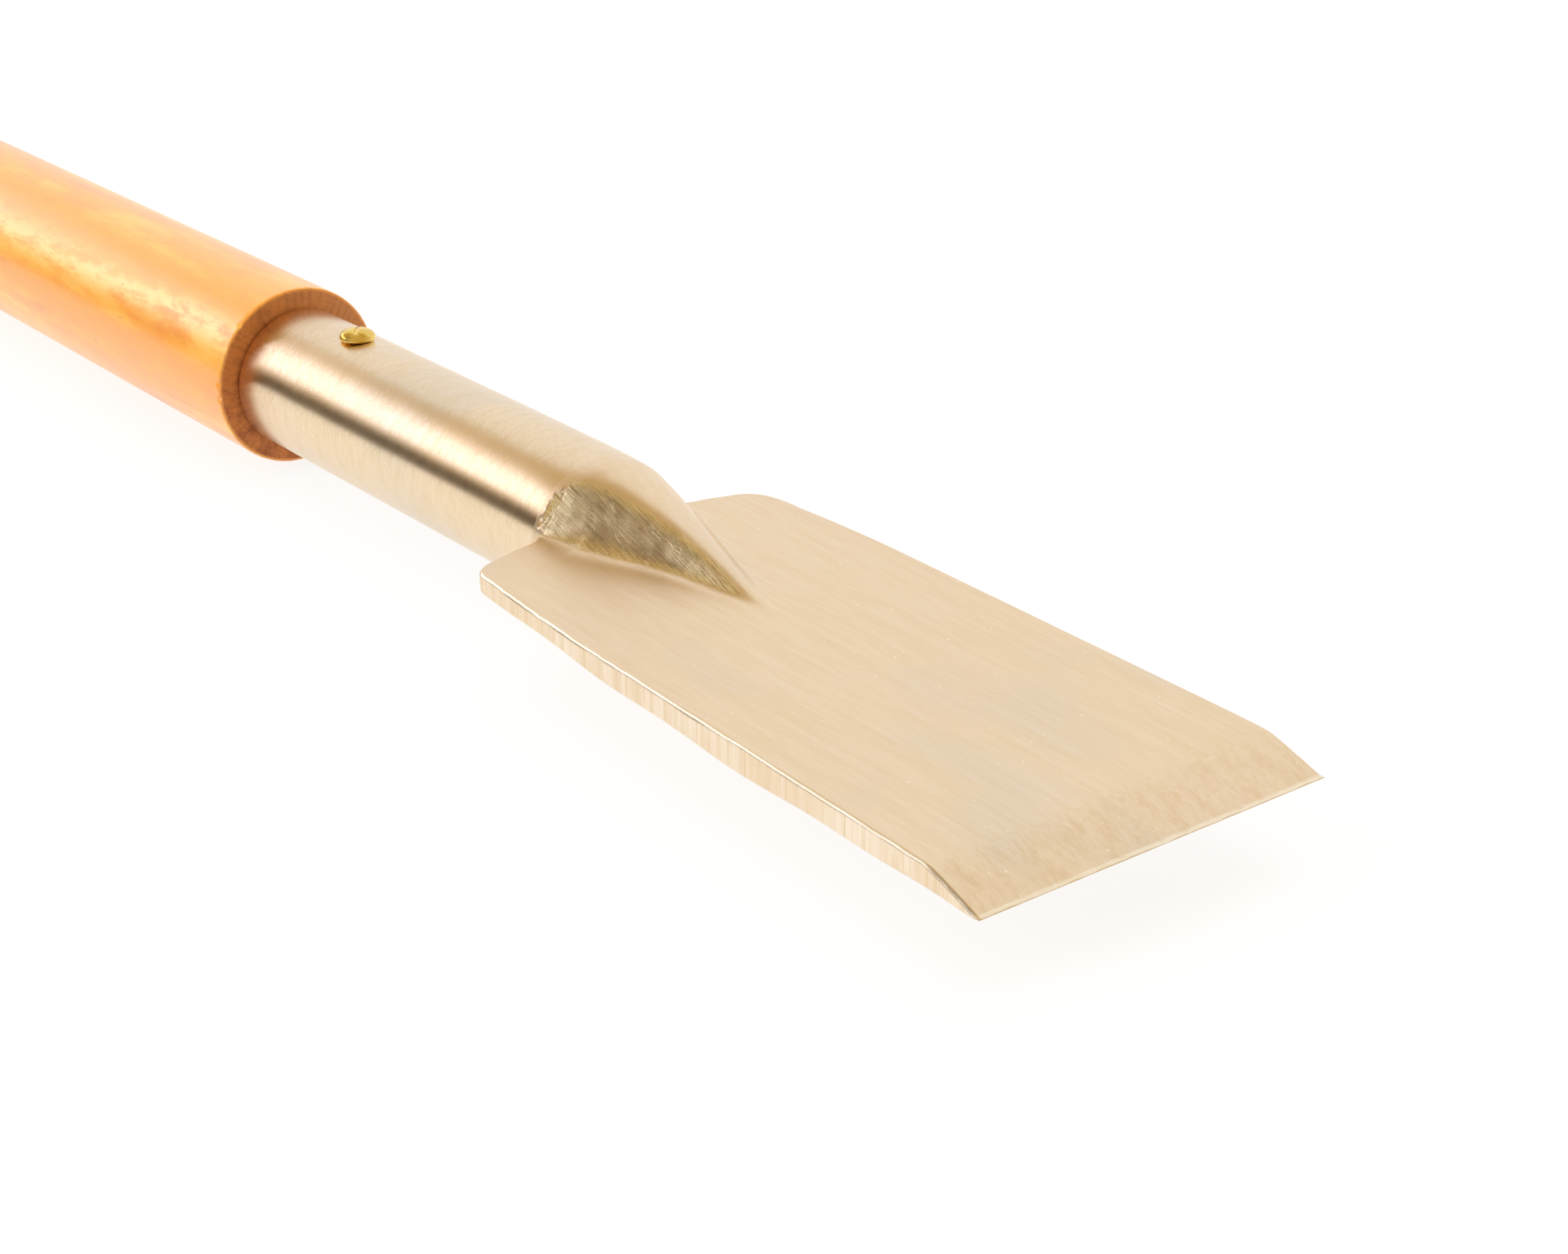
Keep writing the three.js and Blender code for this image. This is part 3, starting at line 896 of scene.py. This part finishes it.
# ---- Handle -----------------------------------------------------------------------------
def handle_profile():
    """[x, radius] pairs from the middle of the butt to the middle of the tenon's end.

    Also gives the first rows of the shoulder face and of the tenon.
    """
    butt_radius = HANDLE_RADIUS - BUTT_ROUNDING
    butt_face = [(BUTT_X, radius) for radius in np.linspace(0, butt_radius, 6)[:-1]]
    butt_end = (BUTT_X + BUTT_ROUNDING, HANDLE_RADIUS)
    butt = bezier((BUTT_X, butt_radius), (BUTT_X, HANDLE_RADIUS), butt_end, 12)
    lengths = np.concatenate([
        along(BUTT_X + BUTT_ROUNDING + 8, -230, 8),
        along(-228, -6, 2),
        along(-5.4, -SHOULDER_ROUNDING - 0.4, 0.6),
    ])
    shaft = [(x, HANDLE_RADIUS) for x in lengths]
    face_radius = HANDLE_RADIUS - SHOULDER_ROUNDING
    rim = bezier((-SHOULDER_ROUNDING, HANDLE_RADIUS), (0, HANDLE_RADIUS), (0, face_radius), 5)
    face = [(0, radius) for radius in np.linspace(face_radius - 0.25, TENON_RADIUS, 14)]
    tenon = [(x, TENON_RADIUS) for x in along(2, TENON_X - TENON_CHAMFER, 4)]
    tenon += [(TENON_X, TENON_RADIUS - TENON_CHAMFER), (TENON_X, 5), (TENON_X, 0)]
    groups = [butt_face, butt, shaft, rim, face, tenon]
    rim_start = len(butt_face) + len(butt) + len(shaft)
    tenon_start = rim_start + len(rim) + len(face) - 1
    return np.vstack([np.asarray(group, float) for group in groups]), rim_start + 3, tenon_start


def chip_rim(rings):
    """Small chips and unevenness along the shoulder's rounded rim."""
    radius = np.hypot(rings[..., 1], rings[..., 2])
    near_rim = band(rings[..., 0], -0.5, 0.6)
    near_rim = near_rim * smooth(HANDLE_RADIUS - 2, HANDLE_RADIUS - 0.6, radius)
    chips = smooth(0.22, 0.5, wobble(rings, 1.6, 10))
    chips = chips * smooth(-60, -20, -np.abs(angle_of(rings) - 15))
    swell(rings, -near_rim * (chips * 0.45 + 0.06 * wobble(rings, 0.9, 11)))


def handle_masks(rings, teeth):
    radius = np.hypot(rings[..., 1], rings[..., 2])
    figure = angle_of(rings) + 6 * wobble(rings * (0.25, 1, 1), 12.0, 18)
    return {
        "rim": smooth(HANDLE_RADIUS - 1.2, HANDLE_RADIUS - 0.5, radius),
        # painted light on the shoulder face, stronger towards the top
        "lit": smooth(0, 115, angle_of(rings)) * 0.7,
        "saw": teeth * (0.4 + 0.6 * smooth(0.1, 0.5, wobble(rings, 5.0, 20) + 0.2)),
        # painted highlight: a pale band along the handle at about 36 degrees round it
        "pale": band(figure, 36, 10),
        # painted shade: deeper bands along the handle at about 6 and 57 degrees round it
        "painted_shade_bands": band(figure, 6, 8) + band(figure, 57, 11),
    }


def make_handle(lacquer, end_grain, raw):
    """Butt, shaft, shoulder and tenon as one closed skin."""
    profile, face_start, tenon_start = handle_profile()
    rings = turned(profile, HANDLE_SIDES)
    behind_rim = 1 - smooth(-1.5, -0.2, rings[..., 0])
    swell(rings, behind_rim * wobble(rings * (0.3, 1, 1), 14.0, 9) * 0.06)
    chip_rim(rings)

    on_face = np.zeros((len(profile), 1))
    on_face[face_start:tenon_start] = 1
    rings[..., 0] += on_face * (wobble(rings, 1.2, 12) * 0.10 - 0.06)
    uneven = 7 * wobble(rings * (1, 0.5, 0.5), 3.0, 19)
    teeth = smooth(0.1, 0.9, np.sin(np.radians(angle_of(rings)) * SAW_MARKS + uneven))
    rings[..., 0] -= on_face * teeth * SAW_DEPTH
    rings[..., 0] += mouth_lean(rings)

    faces = grid_faces(len(rings), HANDLE_SIDES, wrap_columns=True)
    kinds = np.full((len(rings) - 1, HANDLE_SIDES), RAW)
    kinds[:tenon_start] = END_GRAIN
    kinds[:face_start] = LACQUER
    return make_piece(
        "handle", rings, faces, [lacquer, end_grain, raw], kinds.ravel().tolist(),
        sharp=50, masks=handle_masks(rings, teeth),
    )


# ---- Screw ------------------------------------------------------------------------------
def screw_profile():
    """[radius, z] pairs from the tip up to the top of the head. The head sits on z = 0."""
    dome = []
    for turn in np.radians(np.linspace(-12, 90, 22)):
        rise = HEAD_HEIGHT - HEAD_BULGE if turn > 0 else HEAD_UNDERCUT
        radius = HEAD_RADIUS * abs(math.cos(turn)) ** 0.9
        dome.append((radius, HEAD_BULGE + rise * math.sin(turn)))
    thread = []
    depth = THREAD_START
    while depth < SCREW_LENGTH - 4:
        thread += [
            (THREAD_ROOT_RADIUS, -depth - 0.9),
            (SHANK_RADIUS, -depth - 1.5),
            (SHANK_RADIUS, -depth - 1.7),
        ]
        depth += THREAD_PITCH
    tip = [(0, -SCREW_LENGTH), (1.0, -SCREW_LENGTH + 3.4)]
    shank = [(SHANK_RADIUS, -THREAD_START), (SHANK_RADIUS, -0.4), (2.6, -0.05)]
    return np.array(tip + thread[::-1] + shank + [(HEAD_RADIUS * 0.86, 0.0)] + dome)


def make_slot_cutter(lift, material):
    """A box where the slot is cut out of the head."""
    along_x, along_y = math.cos(SLOT_ANGLE), math.sin(SLOT_ANGLE)
    half_length = HEAD_RADIUS * 1.5
    half_slot = SLOT_WIDTH / 2
    corners = []
    for height in (HEAD_HEIGHT - SLOT_DEPTH, HEAD_HEIGHT + 3):
        for end, side in ((-1, -1), (1, -1), (1, 1), (-1, 1)):
            corners.append((
                end * half_length * along_x - side * half_slot * along_y,
                end * half_length * along_y + side * half_slot * along_x,
                height,
            ))
    faces = [
        (0, 1, 2, 3), (4, 7, 6, 5), (0, 4, 5, 1), (1, 5, 6, 2), (2, 6, 7, 3), (3, 7, 4, 0),
    ]
    return make_piece("slot_cutter", np.array(corners) + lift, faces, [material])


def make_screw(material):
    """A slotted round-head wood screw, modelled upright and set in the socket wall."""
    profile = screw_profile()
    angle = np.arange(SCREW_SIDES) * 2 * math.pi / SCREW_SIDES
    rings = np.empty((len(profile), SCREW_SIDES, 3))
    rings[..., 0] = profile[:, :1] * np.cos(angle)
    rings[..., 1] = profile[:, :1] * np.sin(angle)
    rings[..., 2] = profile[:, 1:]
    dents = smooth(0.1, 0.6, wobble(rings, 2.2, 13)) * 0.07 + wobble(rings, 1.2, 14) * 0.012
    head = smooth(0.2, 0.8, rings[..., 2])
    rings *= 1 - (head * dents / HEAD_RADIUS)[..., None]
    lift = np.array((SCREW_X, 0, TUBE_RADIUS + 0.02))
    faces = grid_faces(len(rings), SCREW_SIDES, wrap_columns=True)
    screw = make_piece("socket_screw", rings + lift, faces, [material], sharp=40)

    cutter = make_slot_cutter(lift, material)
    cut = screw.modifiers.new("slot", "BOOLEAN")
    cut.operation = "DIFFERENCE"
    cut.solver = "EXACT"
    cut.object = cutter
    soften = screw.modifiers.new("soften", "BEVEL")
    soften.width = 0.09 * MM
    soften.segments = 2
    soften.limit_method = "ANGLE"
    soften.angle_limit = math.radians(50)
    apply_modifiers(screw)
    bpy.data.objects.remove(cutter)
    screw.data.shade_smooth()
    screw.data.set_sharp_from_angle(angle=math.radians(50))
    return screw


def apply_modifiers(piece):
    graph = bpy.context.evaluated_depsgraph_get()
    made = bpy.data.meshes.new_from_object(piece.evaluated_get(graph))
    piece.modifiers.clear()
    piece.data = made


# ---- Light, floor and camera ------------------------------------------------------------
def direction(azimuth, elevation):
    """A unit vector: azimuth in degrees from +X towards +Y, elevation above the floor."""
    azimuth, elevation = math.radians(azimuth), math.radians(elevation)
    return Vector((
        math.cos(azimuth) * math.cos(elevation),
        math.sin(azimuth) * math.cos(elevation),
        math.sin(elevation),
    ))


# Soft panels and cards round the tool: azimuth, elevation, half width, half height, the
# softness of their edges, all in degrees, and their brightness.
PANELS = (
    ("far wall", 122, 24, 50, 38, 16, (1.0, 0.985, 0.985)),
    ("near card", -109, 26, 22, 34, 10, (0.31, 0.25, 0.185)),
    ("horizon gap", -140, 2, 46, 6.5, 5, (0.10, 0.07, 0.04)),
    ("softbox", -146.5, 22.2, 34.5, 9.3, 2.5, (1.88, 1.82, 1.98)),
)
ROOM = (0.61, 0.46, 0.245)


def make_world():
    world = bpy.data.worlds.new("studio")
    world.use_nodes = True
    bpy.context.scene.world = world
    shader = Shader(world.node_tree)
    ray = shader.node("ShaderNodeTexCoord").outputs["Generated"]
    light = ROOM
    for _, azimuth, elevation, half_width_deg, half_height_deg, soft, brightness in PANELS:
        ahead = direction(azimuth, elevation)
        right = direction(azimuth + 90, 0)
        up = right.cross(ahead) * -1
        depth = shader.math("MAXIMUM", shader.dot(ray, ahead), 0.001)
        share = shader.math("GREATER_THAN", shader.dot(ray, ahead), 0.05)
        for axis, half in ((right, half_width_deg), (up, half_height_deg)):
            offset = shader.math("ABSOLUTE", shader.math("DIVIDE", shader.dot(ray, axis), depth))
            turn = shader.math("ARCTANGENT", offset)
            low, high = math.radians(half - soft / 2), math.radians(half + soft / 2)
            share = shader.times(share, shader.ramp(turn, low, high, 1.0, 0.0))
        light = shader.mix(share, light, brightness)
    seen = shader.node("ShaderNodeLightPath").outputs["Is Camera Ray"]
    light = shader.mix(seen, light, (1, 1, 1))
    background = shader.node("ShaderNodeBackground", {"Color": light, "Strength": 1.0})
    shader.node("ShaderNodeOutputWorld", {"Surface": background.outputs[0]})


def make_fill_light(name, place, size, power):
    """A round lamp aimed at the tool. It lights the wood and the floor and isn't mirrored."""
    lamp = bpy.data.lights.new(name, "AREA")
    lamp.shape = "DISK"
    lamp.size = size
    lamp.energy = power
    holder = bpy.data.objects.new(name, lamp)
    holder.location = place
    holder.rotation_mode = "QUATERNION"
    holder.rotation_quaternion = (ORIGIN - Vector(place)).to_track_quat("-Z", "Y")
    holder.visible_glossy = False
    bpy.context.scene.collection.objects.link(holder)


# In metres. The floor stops at its near edge, so the tube mirrors the dark room beyond it.
FLOOR_NEAR = -0.22
FLOOR_REACH = 6.0
FLOOR_LEVEL = -0.0004


def make_floor():
    material, shader = new_material("pale_floor")
    finish_material(shader, {
        "Base Color": (0.17, 0.17, 0.175, 1),
        "Roughness": 1.0,
        "Specular IOR Level": 0.0,
        "Emission Color": (1, 0.995, 0.99, 1),
        "Emission Strength": 0.855,
    })
    mesh = bpy.data.meshes.new("floor")
    near = FLOOR_NEAR
    far = FLOOR_REACH
    corners = [(-far, near, 0), (far, near, 0), (far, far, 0), (-far, far, 0)]
    mesh.from_pydata(corners, [], [(0, 1, 2, 3)])
    mesh.materials.append(material)
    floor = bpy.data.objects.new("floor", mesh)
    floor.location.z = FLOOR_LEVEL
    bpy.context.scene.collection.objects.link(floor)


# The camera's place in the tool's frame in millimetres, where it looks, and its lens.
CAMERA_AT = (516.6, -271.4, 192.8)
CAMERA_AZIMUTH = 51.83
CAMERA_ELEVATION = 23.77
CAMERA_LENS = 62.65


def make_camera():
    data = bpy.data.cameras.new("camera")
    data.sensor_width = 36
    data.lens = CAMERA_LENS
    data.clip_start = 0.01
    data.clip_end = 50
    camera = bpy.data.objects.new("camera", data)
    bpy.context.scene.collection.objects.link(camera)
    back = direction(CAMERA_AZIMUTH - 90, CAMERA_ELEVATION)
    camera.location = Vector(CAMERA_AT) * MM + ORIGIN
    camera.rotation_mode = "QUATERNION"
    camera.rotation_quaternion = (-back).to_track_quat("-Z", "Y")
    bpy.context.scene.camera = camera


# ---- Scene ------------------------------------------------------------------------------
make_camera()
make_world()
make_fill_light("overhead_fill", (0.3, 0, 1.6), 2.4, 17)
make_fill_light("near_fill", (0.0, -1.2, 0.75), 1.0, 7)
make_floor()
bpy.context.scene.view_settings.view_transform = "Standard"

tube_bronze = brushed(
    "bronze_tube", (2400, 800, 800),
    roughness=0.23, spread=0.03, depth=0.016, tint=0.42, around=0.75,
)
side_bronze = brushed(
    "bronze_side", (3000, 3000, 60), roughness=0.36, depth=0.03, tint=0.62, pale=0.85
)
bevel_bronze = brushed(
    "bronze_bevel", (90, 2200, 2200), roughness=0.34, spread=0.08, depth=0.003
)

blade = make_blade(ground_bronze("bronze_face"), side_bronze, bevel_bronze)
weld_seam = make_weld_seam(ground_bronze("bronze_weld"))
socket_tube = make_socket_tube(tube_bronze)
handle = make_handle(lacquered_wood_material(), end_grain_material(), raw_wood_material())
socket_screw = make_screw(brass_material())

for piece, node, slot in (
    (blade, "blade", "bronze_blade"),
    (weld_seam, "weld_seam", "bronze_weld"),
    (socket_tube, "socket_tube", "bronze_tube"),
    (handle, "handle", "lacquered_wood"),
    (socket_screw, "socket_screw", "brass_screw"),
):
    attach(piece, "root")
    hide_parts(node)
